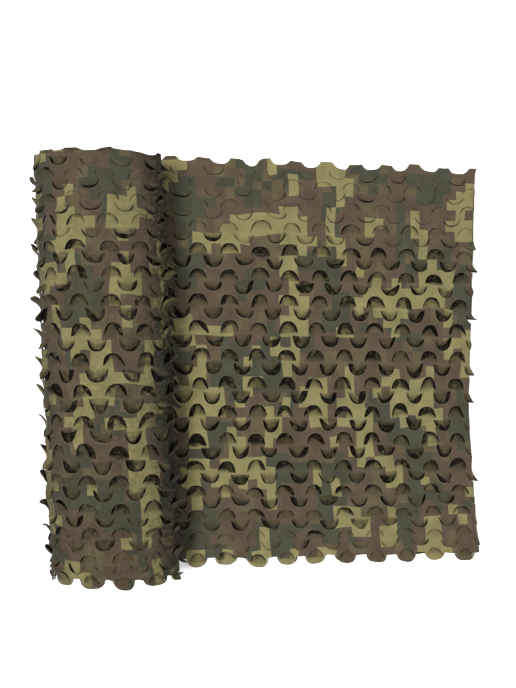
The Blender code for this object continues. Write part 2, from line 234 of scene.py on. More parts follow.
LIP_ANGLE = math.asin((LIP_TOP_Z + LIP_DROP - CENTRE_Z) / HALF_HEIGHT)
FLOOR_ANGLE = math.pi + math.asin((CENTRE_Z - CLOTH / 2) / HALF_HEIGHT)
TUCK_ANGLE = math.radians(-112)  # where the outer turn is out of sight
LAYER_GAP = 0.009  # from the outer layer of the double cloth to the inner one
INNER_HALF_HEIGHT = 0.134  # of the coil's lower half, which rests on the loose end
SETTLE_ANGLES = (math.radians(-45), math.radians(-85))  # where the outer turn comes to rest on it
TURN_SHRINK = 0.12  # of its size, with each turn inwards
EYE_SIZE = 0.20  # where the coil ends
COIL_WOBBLE = (0.0030, 0.35)  # height and length of its slow waves
LEAST_RADIUS = 0.02  # for directions out from the roll's middle
FLOOR_STEPS = 40  # of the stretch that comes in over the floor
EARLY_RISE = 1.4  # how soon it reaches its height
ROLL_SINK = 0.006  # how far a leaf may hang below the outer turn, and below the next
HIDDEN_SINK = 0.002
SECTION_STEP = math.radians(0.5)
COIL_ENDS = [
    # the coil seen at each end: share of the section's size, depth below the outer turn
    (0.20, 0.016),
    (0.26, 0.008),
    (0.46, 0.020),
    (0.64, 0.006),
    (0.80, 0.018),
    (0.94, 0.004),
    (1.00, 0.000),
]

# ---- how finely the cloth is meshed
ARC_STEPS = 14  # along a leaf's arc
CHORD_STEPS = 8  # across its root
LEAF_MESH = 0.0058
SHEET_MESH = 0.0108
BENT_MESH = 0.0055  # in the fold
HIDDEN_ARC_STEPS = 8
HIDDEN_CHORD_STEPS = 4
HIDDEN_MESH = 0.018
COIL_MESH = 0.030
COIL_EDGE = 0.10  # how far in from its ends it is meshed finely
MEET = 1e-7  # points closer than this are one
ON_THE_CUT = 1e-5  # a place this close to a leaf's arc is on it
OUTLINE_STEP = 1.5  # longest run of an outline, in steps of the finest mesh
FIRST_IN_LEAF = 0.75  # steps from a leaf's root to its first mesh points
CLEAR_OF_CUT = 0.5  # steps from a mesh point to a leaf's cut
CLEAR_OF_POINT = 0.6  # and to the points on the cuts
NEARBY = 1e-3  # in columns and in shares of the width, for the cloth's slopes
SHARP = math.radians(60)  # edges that bend more are drawn sharp

# ---- print and colours (linear)
BLOCK = (0.036, 0.038)  # its smallest blocks, along and across the net
BLOCK_SCATTER = 0.08
PATCHES = (62.0, 3.0)  # scale and detail of the noise in dark places
GROUND_BLOBS = ((0, 0), 0.0, (1.15, 0.85, 1.0), 5.2)  # half blocks on, place, stretch, scale
KHAKI_BLOBS = ((1, 1), 7.7, (1.25, 0.75, 1.0), 6.2)
KHAKI_FROM = 0.547  # the larger, the less khaki there is
LOOSE_END_SHIFT = 35.76  # where on the endless print each piece was cut
PRINT_SHIFT = -9.43
KHAKI = (0.140, 0.124, 0.055)
BROWN = (0.0585, 0.0425, 0.0285)
OLIVE = (0.067, 0.054, 0.031)
GREEN = (0.038, 0.0385, 0.0255)
BACKING = (0.040, 0.036, 0.024)
BACK_DIMMED = 0.62
SHADED_LEAF_TONE = (0.053, 0.041, 0.017)  # painted shade: the colour a shaded leaf's print is dulled towards
# painted shade: the colour shaded cloth is darkened towards
PAINTED_SHADE = (0.009, 0.007, 0.004)
# painted shade: the dark back of the lower layer, seen through the gaps
GAP_SHADE = (0.0030, 0.0023, 0.0013)
# lighter cut edges: fraying, and a painted highlight on curled edges
WORN_AND_HIGHLIT = (0.130, 0.118, 0.080)
WORN_AND_HIGHLIT_SHARE = 0.12
FLOOR_COLOUR = (0.90, 0.90, 0.895)
GROUND_STEPS = [(0.00, GREEN), (0.435, OLIVE), (0.46, BROWN), (0.64, OLIVE)]


def unevenness(*key):
    """A number from -1 to 1 that looks random but is the same for the same key."""
    mixed = 0.0
    for place, value in enumerate(key):
        mixed += value * (12.9898, 78.233, 37.719)[place]
    fine = math.sin(mixed) * 43758.5453
    return 2.0 * (fine - math.floor(fine)) - 1.0


def ripple(x, y, seed, length):
    """From about -1 to 1, crossing waves of about this wavelength."""
    total = 0.0
    for number in range(5):
        heading = math.pi * unevenness(seed, number, 1)
        cycles = 2 * math.pi / (length * (1 + 0.4 * unevenness(seed, number, 2)))
        phase = math.pi * unevenness(seed, number, 3)
        total = total + np.sin(cycles * (x * math.cos(heading) + y * math.sin(heading)) + phase)
    return total / 3


def slow_wave(along, share):
    """The cloth's slow rise and fall, from -1 to 1."""
    total = 0.0
    for cycles_along, cycles_across, phase, part in WAVES:
        cycles = cycles_along * along + cycles_across * share
        total = total + part * np.sin(2 * math.pi * cycles + phase)
    return total


def smooth(t):
    t = np.clip(t, 0, 1)
    return t * t * (3 - 2 * t)


def between(start, end, part):
    return start + (end - start) * part


# ---- rows of leaves
HEIGHTS = np.array([height for height, _ in ROWS])
NET_WIDTH = TOP_MARGIN + HEIGHTS.sum()
ROW_START = (TOP_MARGIN + np.cumsum(HEIGHTS) - HEIGHTS) / NET_WIDTH


def drift(column, share):
    """How far a column of leaves is drawn along at this share of the width, in columns."""
    shares, *drawn = zip(*DRIFT)
    return float(np.interp(column, DRIFT_COLUMNS, [np.interp(share, shares, line) for line in drawn]))


def no_drift(column, share):
    return 0.0


class Leaf:
    """A leaf in the flat cloth; way is +1 if it stands on its root, -1 if it hangs."""

    def __init__(self, column, row, hanging, pitch, moved):
        crown = ROW_START[row + hanging] - CROWN_CLEAR / NET_WIDTH * hanging
        self.column = column
        self.seed = 2 * row + hanging
        self.way = -1 if hanging else 1
        self.height, self.openness = ROWS[row] if row >= 0 else (SHUT_HEIGHT, 0.0)
        self.x = (column + moved(column, crown)) * pitch
        self.crown = -crown * NET_WIDTH
        self.wild, self.stand = 0.0, NO_STAND
        self.press(1.0)

    def chance(self, number):
        """From -1 to 1, this leaf's own number for one of its features."""
        return unevenness(self.column, self.seed, number)

    def press(self, share, least=0.0):
        """Open it no further than this share of what its row allows, or of the least there is."""
        self.pressed = share == 0
        drawn = 1 + (max(self.height, SHUT_HEIGHT) / SHUT_HEIGHT - 1) * share
        self.length = LEAF_LENGTH * (1 + LEAF_STRETCH * self.openness * share)
        self.openness = max(self.openness, least) * share
        self.depth = LEAF_LENGTH * drawn
        self.half = LEAF_HALF * (1 - DRAWN_IN * self.openness)
        if self.height < SHUT_HEIGHT:
            self.half *= LAST_NARROWING
        self.root = self.crown - self.way * self.depth

    def arc(self, steps):
        arc = [unit_arc(angle) for angle in np.linspace(LEAF_REACH, -LEAF_REACH, steps + 1)]
        return [(self.x + self.half * side, self.root + self.way * self.depth * up) for side, up in arc]

    def chord(self, steps):
        return [(self.x + self.half * side, self.root) for side in np.linspace(-1, 1, steps + 1)]

    def seen_from(self, x, y):
        """Angles round the leaf's arc, and how far outside it, of places in the flat cloth."""
        across = np.abs(x - self.x) / self.half * ARC_SIDE
        up = self.way * (y - self.root) / self.depth * (1 - ARC_ROOT) + ARC_ROOT
        across, above = across ** SQUARENESS, np.sign(up) * np.abs(up) ** SQUARENESS
        angle = np.arctan2(np.sqrt(across) * np.sign(x - self.x), np.sign(up) * np.sqrt(np.abs(above)))
        return angle, ((across + np.abs(above)) ** (1 / SQUARENESS) - 1) * LEAF_HALF

    def style(self):
        """Slopes at the root and at the free edge, twist, arch and narrowing."""
        limits = np.cumsum([share for share, *_ in LEAF_STYLES[:-1]])
        chosen = LEAF_STYLES[np.searchsorted(limits, 0.5 + 0.5 * self.chance(1), 'right')][1:]
        shut = PRESSED_STYLE if self.pressed else SHUT_STYLE
        mixed = [between(low, high, self.openness) for low, high in zip(shut, chosen)]
        vary = 1 + SLOPE_VARIETY * self.chance(2)
        start, end, twist, arch, narrowing = mixed
        out, back = self.stand[self.chance(13) > 0]
        start += (out - start) * self.wild
        end += (back - end) * WILD_END * self.wild
        twist = (twist + WILD_TWIST * self.wild) * self.chance(3)
        return math.radians(start), math.radians(end * vary), math.radians(twist), arch * vary, narrowing


ARC_SIDE = math.sin(LEAF_REACH) ** (2 / SQUARENESS)
ARC_ROOT = math.cos(LEAF_REACH) ** (2 / SQUARENESS)


def unit_arc(angle):
    """A place on the arc: -1 to 1 across it, 0 to 1 from root to crown."""
    across = abs(math.sin(angle)) ** (2 / SQUARENESS) / ARC_SIDE
    up = (math.cos(angle) ** (2 / SQUARENESS) - ARC_ROOT) / (1 - ARC_ROOT)
    return math.copysign(across, angle), up


def leaves_between(first, last, pitch, moved, openness, least):
    """The leaves between two columns: standing ones on full columns, hanging ones between.

    openness(leaf) gives the share of what its row allows, how wildly it stands out, and its slopes.
    """
    found = []
    for half_column in range(math.ceil(2 * first), math.floor(2 * last) + 3):
        hanging = half_column % 2
        for row in range(-hanging, len(ROWS) - hanging):
            leaf = Leaf(half_column / 2, row, hanging, pitch, moved)
            room = LEAF_ROOM * leaf.half
            if first * pitch < leaf.x - room and leaf.x + room < last * pitch:
                share, leaf.wild, leaf.stand = openness(leaf)
                leaf.press(share, max(least, leaf.wild))
                found.append(leaf)
    return found


def edge_features(first, last, pitch, moved, share):
    """Middles of the tabs or lobes of one cut edge."""
    full = range(math.ceil(first), math.floor(last) + 2)
    middles = [column + moved(column, share) for column in full]
    return [middle * pitch for middle in middles if first + EDGE_ROOM < middle < last - EDGE_ROOM]


# ---- the flat cloth
def hexagonal(x_from, x_to, y_from, y_to, step):
    """Points a step apart, each row shifted by half a step."""
    lines = enumerate(np.arange(y_from, y_to, step * math.sqrt(3) / 2))
    found = [(x, y) for number, y in lines for x in np.arange(x_from + step * (number % 2) / 2, x_to, step)]
    return np.array(found).reshape(-1, 2)


def signed_area(ring):
    x, y = np.array(ring).T
    return 0.5 * np.sum(x * np.roll(y, -1) - np.roll(x, -1) * y)


class FlatCloth:
    """A stretch of the net laid out flat, in triangles, with every leaf parted from the sheet.

    Bands are (x from, x to, y from, y to, step): how finely the sheet is meshed there.
    """

    def __init__(self, first, last, pitch, moved, leaves, bands, arc_steps, leaf_mesh, edges):
        self.ends, self.pitch = (first * pitch, last * pitch), pitch
        self.lobe_depth, self.variety = edges
        self.tabs = edge_features(first, last, pitch, moved, 0)
        self.lobes = edge_features(first, last, pitch, moved, 1)
        self.leaves, self.arc_steps = leaves, arc_steps
        self.longest = OUTLINE_STEP * min(band[4] for band in bands)
        self.inputs, self.on_arc, self.on_chord = [], set(), set()
        rings = [self.edge_ring(), *(self.leaf_ring(leaf) for leaf in leaves)]
        self.fill_leaves(leaf_mesh)
        for band in bands:
            self.fill_sheet(*band)
        self.cut(rings)

    def add(self, places):
        start = len(self.inputs)
        self.inputs += [(float(x), float(y)) for x, y in places]
        return list(range(start, len(self.inputs)))

    def varied(self, limits, *key):
        """A share between these limits, made smaller where the edges are even."""
        return self.variety * np.interp(unevenness(*key), (-1, 1), limits)

    def edge_ring(self):
        """The cut edge: tabs at y = 0, lobes at the other side, no two alike."""
        root = self.lobe_depth - NET_WIDTH
        start, end = self.ends
        low = [(start, root)]
        for middle in self.lobes:
            half = LOBE_HALF * (1 + self.varied(LOBE_WIDER, 3 * middle, 1))
            depth = self.lobe_depth * (1 - self.varied(LOBE_SHORTER, 3 * middle, 2))
            for angle in np.linspace(-LEAF_REACH, LEAF_REACH, self.arc_steps + 1):
                across, down = unit_arc(angle)
                low.append((middle + half * across, root - depth * down))
        low.append((end, root))
        valleys = [1 - self.varied(VALLEY_SHALLOWER, number, 9) for number in range(len(self.tabs) + 1)]
        top = [(start, -TAB_DEPTH * valleys[0])]
        for number, middle in enumerate(self.tabs):
            for side, valley in ((-1, valleys[number]), (1, valleys[number + 1])):
                for offset, part in TAB_PROFILE[::side]:
                    top.append((middle + side * offset * self.pitch, -TAB_DEPTH * part * valley))
        top.append((end, -TAB_DEPTH * valleys[-1]))
        return self.add(self.split_long_runs(low + top[::-1]))

    def split_long_runs(self, ring):
        """The ring with points added where two neighbours lie far apart."""
        done = []
        for (x, y), (next_x, next_y) in zip(ring, ring[1:] + ring[:1]):
            count = max(1, math.ceil(math.hypot(next_x - x, next_y - y) / self.longest))
            for k in range(count):
                done.append((x + (next_x - x) * k / count, y + (next_y - y) * k / count))
        return done

    def leaf_ring(self, leaf):
        fine = self.arc_steps == ARC_STEPS and not leaf.pressed
        chord = self.add(leaf.chord(CHORD_STEPS if fine else HIDDEN_CHORD_STEPS))
        arc = self.add(leaf.arc(ARC_STEPS if fine else HIDDEN_ARC_STEPS)[1:-1])
        self.on_chord.update(chord)
        self.on_arc.update(arc)
        ring = chord + arc
        return ring if signed_area([self.inputs[k] for k in ring]) > 0 else ring[::-1]

    def fill_leaves(self, step):
        """Points inside every leaf but those pressed flat."""
        grid = hexagonal(-LEAF_HALF, LEAF_HALF, FIRST_IN_LEAF * step, LEAF_LENGTH, step)
        for leaf in (leaf for leaf in self.leaves if not leaf.pressed):
            places = grid * (leaf.half / LEAF_HALF, leaf.way * leaf.depth / LEAF_LENGTH)
            places += (leaf.x, leaf.root)
            self.add(places[leaf.seen_from(*places.T)[1] < -CLEAR_OF_CUT * step])

    def fill_sheet(self, x_from, x_to, y_from, y_to, step):
        """Points over the rest of one band."""
        edges = KDTree(len(self.inputs))
        for number, (x, y) in enumerate(self.inputs):
            edges.insert((x, y, 0.0), number)
        edges.balance()
        grid = hexagonal(x_from, x_to, y_from, y_to, step)
        free = np.ones(len(grid), bool)
        clear = CLEAR_OF_CUT * step
        for leaf in self.leaves:
            free &= (leaf.seen_from(*grid.T)[1] > clear) | (leaf.way * (grid[:, 1] - leaf.root) < -clear)
        self.add((x, y) for x, y in grid[free] if edges.find((x, y, 0.0))[2] > CLEAR_OF_POINT * step)

    def cut(self, rings):
        """Triangulate, and give each leaf its own points along its arc."""
        made = delaunay_2d_cdt([Vector(place) for place in self.inputs], [], rings, 1, MEET, True)
        spots, _, faces, sources, _, owners = made
        kept = [(face, owner) for face, owner in zip(faces, owners) if owner and owner[0] == 0]
        flat = np.array([tuple(spot) for spot in spots])
        faces = np.array([face for face, _ in kept])
        leaf_of_face = np.array([owner[1] - 1 if len(owner) > 1 else -1 for _, owner in kept])
        arc, chord = (np.array([any(k in marked for k in source) for source in sources])
                      for marked in (self.on_arc, self.on_chord))
        copy = np.arange(len(flat))
        copy[arc] = len(flat) + np.arange(arc.sum())
        in_leaf = leaf_of_face >= 0
        faces[in_leaf] = copy[faces[in_leaf]]
        self.flat = np.concatenate([flat, flat[arc]])
        self.faces = faces
        self.leaf_of = np.full(len(self.flat), -1)
        chord = np.concatenate([chord, np.zeros(arc.sum(), bool)])
        for corner in range(3):
            spot = faces[in_leaf, corner]
            own = ~chord[spot]
            self.leaf_of[spot[own]] = leaf_of_face[in_leaf][own]


# ---- leaves bent out of the cloth
def bent(t, length, start, end):
    """How far a strip reaches and rises whose slope turns evenly from start to end."""
    turn = np.where(np.abs(end - start) < 0.01, 0.01, end - start)
    slope = start + turn * t / length
    return (length * (np.sin(slope) - np.sin(start)) / turn,
            length * (np.cos(start) - np.cos(slope)) / turn)


def bend_leaves(cloth, sink_limit, edge_curl):
    """Shifted flat places, and heights over the cloth's own surface."""
    place = cloth.flat.copy()
    lift = np.zeros(len(place))
    cloth.shade = np.zeros(len(place))
    window = 2 * LEAF_HALF
    height, wave = LEAF_CRUMPLE
    middle, sides = ARCH_FORM
    for number, leaf in enumerate(cloth.leaves):
        away = cloth.flat - (leaf.x, leaf.root)
        near = np.flatnonzero((np.abs(away[:, 0]) < window) & (np.abs(away[:, 1]) < window))
        own = near[cloth.leaf_of[near] == number]
        rest = near[cloth.leaf_of[near] == -1]
        across = (cloth.flat[own, 0] - leaf.x) / leaf.half
        up = leaf.way * (cloth.flat[own, 1] - leaf.root) / leaf.depth
        start, end, twist, arch, narrowing = leaf.style()
        length = leaf.length
        steepest = math.asin(min(1.0, STEEP_SHARE * sink_limit / length))
        start, end = max(start, -steepest), max(end, -steepest)
        folded, drop = fold_corner(leaf, across, up)
        reach, rise = bent((up - folded[1]) * length, length, start, end + twist * across)
        rise -= drop
        rise += height * leaf.openness * up * ripple(*cloth.flat[own].T, leaf.seed, wave)
        rise += arch * np.sin(math.pi / 2 * np.clip(up, 0, 1)) * (middle - sides * across ** 2)
        place[own, 0] -= leaf.half * (narrowing * across * np.clip(WAIST * up, 0, 1) + folded[0])
        place[own, 0] += LEAF_SWAY * leaf.openness * leaf.chance(6) * up * up
        place[own, 1] = leaf.root + leaf.way * reach
        lift[own] += np.maximum(rise, -sink_limit)
        cloth.shade[own] = leaf_shade(leaf, across, up, twist, drop)
        dark_cut(cloth, leaf, own)
        move_edge(cloth, leaf, rest, place, lift)
    curl_edges(cloth, place, lift, *edge_curl)
    # the leaves' print dulled where they have painted shade
    cloth.dull = LEAF_DULL * np.clip(cloth.shade / LEAF_DULLED, 0, 1)
    return place, lift


def fold_corner(leaf, across, up):
    """One corner turned down or up along a crease: how far it is drawn in, and how far it drops."""
    if 0.5 + 0.5 * leaf.chance(8) > CREASED:
        return np.zeros((2, len(across))), np.zeros(len(across))
    turned = leaf.chance(9)
    heading, variety = CREASE_HEADING
    heading = math.radians(heading + variety * leaf.chance(10)) * (1 if turned > 0 else -1)
    line = np.interp(leaf.chance(11), (-1, 1), LEAF_CREASE)
    beyond = np.maximum(across * math.sin(heading) + up * math.cos(heading) - line, 0)
    turn = CREASE_TURN * leaf.openness * (1 if abs(turned) < CREASED_DOWN else CREASED_UP)
    drawn = beyond * (1 - math.cos(turn))
    inwards = np.stack([drawn * math.sin(heading), drawn * math.cos(heading)])
    return inwards, beyond * leaf.half * math.sin(turn)


def leaf_shade(leaf, across, up, twist, drop):
    """Painted shade: how much darker a leaf is than the sheet."""
    pick = 0.5 + 0.5 * leaf.chance(7)
    shade = np.interp(pick, (0, 1), LEAF_SHADE) * smooth(up / (SHADE_RAMP[0] + SHADE_RAMP[1] * pick % 1))
    shade += RIM_SHADE * np.hypot(across, up) ** RIM_POWER * smooth(2 * up)
    lower_side = np.clip(-across * np.sign(twist), 0, 1) * min(1.0, abs(twist) / STEEP_TWIST)
    shade += SIDE_SHADE * lower_side ** 2 * smooth(4 * up)
    shade += CORNER_SHADE * smooth(drop / CORNER_DROP)
    if leaf.chance(12) > 1 - 2 * CREASED_ROOTS:
        shade += ROOT_SHADE * np.exp(-(up / ROOT_REACH) ** 2) * (1 - across ** 4)
    low, high = SHADE_FROM
    shown = float(smooth((leaf.openness - low) / (high - low)))
    return np.clip(shade, 0, 1) * shown * (1 - LESS_WILD * leaf.wild)


def dark_cut(cloth, leaf, own):
    """The shadow line along a leaf's cut, darker in one stretch than in the rest."""
    angle, outside = leaf.seen_from(*cloth.flat[own].T)
    turned = math.pi * leaf.chance(14)
    often, *heights = CUT_LINE_BREAKS
    line = np.interp(np.sin(often * angle + turned), heights, CUT_LINE)
    line = line * (np.abs(outside) < ON_THE_CUT) * (not leaf.pressed)
    cloth.shade[own] += line * (1 - cloth.shade[own])


def curl_edges(cloth, place, lift, height, shortening):
    """Each tab and lobe bent a little its own way, up or down out of the sheet."""
    x, y = cloth.flat.T
    edges = (1, 0.0, cloth.tabs, TAB_DEPTH), (-1, -NET_WIDTH, cloth.lobes, LOBE_DEPTH)
    for way, edge, middles, depth in edges:
        root = edge - way * depth
        for middle in middles:
            side = (x - middle) / (EDGE_ROOM * cloth.pitch)
            lean = CURL_LEAN * unevenness(middle * 5, way, 3)
            out = np.clip(way * (y - root) / depth, 0, 1) * (np.abs(side) < 1)
            out = out * (1 + lean * np.clip(side, -1, 1)) ** 0.5
            curl = unevenness(middle * 7, way, 2)
            place[:, 1] -= way * depth * out * out * shortening * abs(curl)
            place[:, 0] += CURL_ASIDE * height * lean * out
            lift += height * curl * out * out


def move_edge(cloth, leaf, rest, place, lift):
    """The sheet around a leaf: its cut edge drawn a little off the arc, and up or down."""
    angle, outside = leaf.seen_from(*cloth.flat[rest].T)
    facing = np.cos(np.clip(angle / LEAF_REACH, -1, 1) * math.pi / 2)
    give = facing * np.exp(-(np.maximum(outside, 0) / EDGE_GIVE) ** 2) * (outside > -ON_THE_CUT)
    pull = EDGE_PULL * leaf.openness * leaf.chance(4 / 3)
    rise = np.interp(leaf.chance(5 / 3), (-1, 1), EDGE_RISE) * leaf.openness
    place[rest, 1] += leaf.way * pull * give
    lift[rest] += rise * give


def tug(place, x, y, seed):
    """Shift the flat cloth's places a little, as it isn't drawn out evenly."""
    place[:, 0] += TUG * ripple(x, y, seed, TUG_LENGTHS[0])
    place[:, 1] += TUG * ripple(x, y, seed + 2, TUG_LENGTHS[1])


def drape(cloth, surface, place, lift):
    """Points of the bent cloth in the frame, lifted outwards from its surface."""
    column, share = place[:, 0] / cloth.pitch, -place[:, 1] / NET_WIDTH
    along = surface(column + NEARBY, share) - surface(column - NEARBY, share)
    across = surface(column, share + NEARBY) - surface(column, share - NEARBY)
    normal = np.cross(across, along)
    points = surface(column, share) + normal / np.linalg.norm(normal, axis=1)[:, None] * lift[:, None]
    points[:, 2] = np.maximum(points[:, 2], CLOTH / 2)
    return points


# ---- solid fabric
def point_normals(points, faces):
    a, b, c = (points[faces[:, k]] for k in range(3))
    across = np.cross(b - a, c - a)
    total = np.zeros_like(points)
    for corner in range(3):
        np.add.at(total, faces[:, corner], across)
    return total / np.maximum(np.linalg.norm(total, axis=1), 1e-12)[:, None]


def open_edges(faces):
    """Edges with a face on one side only, in the direction of that face."""
    edges = np.concatenate([faces[:, (0, 1)], faces[:, (1, 2)], faces[:, (2, 0)]])
    low, high = edges.min(axis=1), edges.max(axis=1)
    _, index, count = np.unique(low * (faces.max() + 1) + high, return_index=True, return_counts=True)
    return edges[index[count == 1]]


def placed(name, data):
    """A new object in the scene."""
    item = bpy.data.objects.new(name, data)
    bpy.context.scene.collection.objects.link(item)
    return item


def within_edges(y):
    """Whether the layer above covers these places, as it does but for the tabs and lobes."""
    return (y < -EDGE_COVER * TAB_DEPTH) & (y > EDGE_COVER * LOBE_DEPTH - NET_WIDTH)


def fabric_piece(name, cloth, points, print_shift, inside):
    """The cloth as a closed mesh: printed face, backing and cut edges.

    inside marks the points whose back shows only through the gaps of the layer above; that back is painted
    dark as shade.
    """
    faces = cloth.faces
    used = np.unique(faces)
    slot_of = np.full(len(points), -1)
    slot_of[used] = np.arange(len(used))
    faces, points, flat, inside = slot_of[faces], points[used], cloth.flat[used], inside[used]
    count = len(points)
    offset = point_normals(points, faces) * FABRIC / 2
    rim = open_edges(faces)
    a, b = rim[:, 0], rim[:, 1]
    sides = np.concatenate([np.stack([b, a, a + count], 1), np.stack([b, a + count, b + count], 1)])
    everything = np.concatenate([faces, faces[:, ::-1] + count, sides])
    mesh = bpy.data.meshes.new(name)
    mesh.from_pydata(np.concatenate([points + offset, points - offset]).tolist(), [], everything.tolist())
    material = np.zeros(len(everything), np.int32)
    material[len(faces):] = 1
    material[len(faces):2 * len(faces)] += inside[faces].all(axis=1)
    mesh.polygons.foreach_set("material_index", material)
    mesh.polygons.foreach_set("use_smooth", np.ones(len(everything), bool))
    mesh.set_sharp_from_angle(angle=SHARP)
    corner = np.empty(len(mesh.loops), np.int32)
    mesh.loops.foreach_get("vertex_index", corner)
    printed = (flat + (print_shift, 0.0))[corner % count].astype(np.float32)
    mesh.uv_layers.new(name="cloth").uv.foreach_set("vector", printed.ravel())
    worn_and_highlit = np.zeros(count)
    worn_and_highlit[rim.ravel()] = 1
    for look, values in (("cut_edge", worn_and_highlit), ("shade", cloth.shade[used]), ("dull", cloth.dull[used])):
        attribute = mesh.attributes.new(look, 'FLOAT', 'POINT')
        attribute.data.foreach_set("value", np.tile(values, 2).astype(np.float32))
    piece = placed(name, mesh)
    for made in MATERIALS:
        mesh.materials.append(made)
    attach(piece, "root")
    return piece


# ---- materials
class Shading:
    """Short calls for one material's nodes."""

    def __init__(self, name):
        self.material = bpy.data.materials.new(name)
        self.material.use_nodes = True
        self.nodes = self.material.node_tree.nodes
        self.shader = self.nodes["Principled BSDF"]

    def join(self, socket, value):
        if isinstance(value, bpy.types.NodeSocket):
            self.material.node_tree.links.new(value, socket)
        else:
            socket.default_value = value

    def add(self, kind, sockets, out=0, **settings):
        """A node with its settings and inputs; gives back one of its outputs."""
        node = self.nodes.new("ShaderNode" + kind)
        for setting, value in settings.items():
            setattr(node, setting, value)
        for socket, value in sockets.items():
            self.join(node.inputs[socket], value)
        return node.outputs[out]

    def math(self, operation, first, second):
        return self.add("Math", {0: first, 1: second}, operation=operation)

    def mix(self, share, first, second, blend='MIX'):
        return self.add("Mix", {0: share, 6: first, 7: second}, out=2, data_type='RGBA', blend_type=blend)

    def vector_math(self, operation, first, second):
        return self.add("VectorMath", {0: first, 1: second}, operation=operation)

    def ranged(self, value, low, high, new_low, new_high):
        """The value, with low to high stretched or squeezed to the new range."""
        return self.add("MapRange", {"Value": value, "From Min": low, "From Max": high,
                                     "To Min": new_low, "To Max": new_high})

    def attribute(self, name):
        return self.add("Attribute", {}, out=2, attribute_name=name)

    def noise(self, vector, scale, detail=2.0):
        return self.add("TexNoise", {"Vector": vector, "Scale": scale, "Detail": detail})

    def blobs(self, cloth, half, elsewhere, stretch, scale):
        """Square-edged blobs: soft noise looked up in blocks, or half a block on, a little scattered."""
        moved = self.vector_math('ADD', cloth, (half[0] * BLOCK[0] / 2, half[1] * BLOCK[1] / 2, 0.5))
        blocks = self.vector_math('SNAP', moved, (*BLOCK, 1.0))
        blocks = self.vector_math('ADD', blocks, (elsewhere, elsewhere, 0.0))
        stretched = self.vector_math('MULTIPLY', blocks, stretch)
        scatter = self.add("TexWhiteNoise", {"Vector": blocks}, noise_dimensions='3D')
        scatter = self.math('MULTIPLY', self.math('SUBTRACT', scatter, 0.5), BLOCK_SCATTER)
        return self.math('ADD', self.noise(stretched, scale, 1.0), scatter)

    def steps(self, value, stops):
        """A colour for each stretch of values: stops are (from, colour)."""
        node = self.nodes.new("ShaderNodeValToRGB")
        node.color_ramp.interpolation = 'CONSTANT'
        self.join(node.inputs[0], value)
        ramp = node.color_ramp.elements
        while len(ramp) < len(stops):
            ramp.new(0.5)
        for element, (start, colour) in zip(ramp, stops):
            element.position = start
            element.color = (*colour, 1.0)
        return node.outputs[0]

    def finish(self, looks):
        """Set the shader's own inputs, and give back the material."""
        for socket, value in looks.items():
            self.join(self.shader.inputs[socket], value)
        return self.material


def block_print(nodes, cloth):
    """Square-edged blocks of four colours, of a layout of its own."""
    ground = nodes.steps(nodes.blobs(cloth, *GROUND_BLOBS), GROUND_STEPS)
    khaki = nodes.math('GREATER_THAN', nodes.blobs(cloth, *KHAKI_BLOBS), KHAKI_FROM)
    return nodes.mix(khaki, ground, (*KHAKI, 1.0))


def woven_bump(nodes, cloth):
    """Threads both ways, and the soft crumple of the fabric."""
    threads = {"Vector": cloth, "Scale": 420.0, "Distortion": 0.6}
    along, across = (nodes.add("TexWave", threads, bands_direction=way) for way in 'XY')
    weave = nodes.math('MAXIMUM', along, across)
    woven = nodes.add("Bump", {"Height": weave, "Strength": 0.5, "Distance": 0.0002})
    crumple = nodes.noise(cloth, 45.0, 3.0)
    return nodes.add("Bump", {"Height": crumple, "Strength": 0.35, "Distance": 0.0012, "Normal": woven})


def cloth_material(name, back):
    """Matt printed fabric with painted shade on its leaves and sides; its back shows the print only dimly.
    """
    nodes = Shading(name)
    cloth = nodes.add("UVMap", {}, uv_map="cloth")
    colour = block_print(nodes, cloth)
    if back:
        colour = nodes.mix(BACK_DIMMED, colour, (*BACKING, 1.0))
    faded = nodes.noise(cloth, 16.0, 5.0)
    colour = nodes.mix(1.0, colour, nodes.ranged(faded, 0.3, 0.7, 0.80, 1.14), 'MULTIPLY')
    # painted shade: shaded leaves' print dulled towards a flat tone
    colour = nodes.mix(nodes.attribute("dull"), colour, (*SHADED_LEAF_TONE, 1.0))
    patchy = nodes.ranged(nodes.noise(cloth, *PATCHES), 0.34, 0.66, 0.35, 1.40)
    # painted shade, broken into patches
    sunk = nodes.math('MULTIPLY', nodes.attribute("shade"), patchy)
    colour = nodes.mix(sunk, colour, (*PAINTED_SHADE, 1.0))
    # cut edges lighter: fraying, and a painted highlight on curled edges
    worn_and_highlit = nodes.math('POWER', nodes.attribute("cut_edge"), 4.0)
    colour = nodes.mix(nodes.math('MULTIPLY', worn_and_highlit, WORN_AND_HIGHLIT_SHARE), colour, (*WORN_AND_HIGHLIT, 1.0))
    return nodes.finish({
        "Base Color": colour,
        "Roughness": nodes.ranged(faded, 0.0, 1.0, 0.78, 0.95),
        "Specular IOR Level": 0.08,
        "Sheen Weight": 0.03,
        "Sheen Roughness": 0.5,
        "Normal": woven_bump(nodes, cloth),
    })


def gap_shade_material():
    """The dark back of the layer below, seen through the gaps: painted shade."""
    nodes = Shading("camouflage_gap_shade")
    cloth = nodes.add("UVMap", {}, uv_map="cloth")
    seen = nodes.ranged(nodes.noise(cloth, *PATCHES), 0.46, 0.70, 0.03, 0.40)
    return nodes.finish({
        "Base Color": nodes.mix(seen, (*GAP_SHADE, 1.0), block_print(nodes, cloth)),
        "Roughness": 1.0,
        "Specular IOR Level": 0.05,
        "Normal": woven_bump(nodes, cloth),
    })


def floor_material():
    nodes = Shading("floor_paint")
    place = nodes.add("TexCoord", {}, out=3)
    speckle = nodes.ranged(nodes.noise(place, 30.0, 3.0), 0.0, 1.0, 0.985, 1.0)
    colour = nodes.mix(1.0, (*FLOOR_COLOUR, 1.0), speckle, 'MULTIPLY')
    return nodes.finish({"Base Color": colour, "Roughness": 0.9})


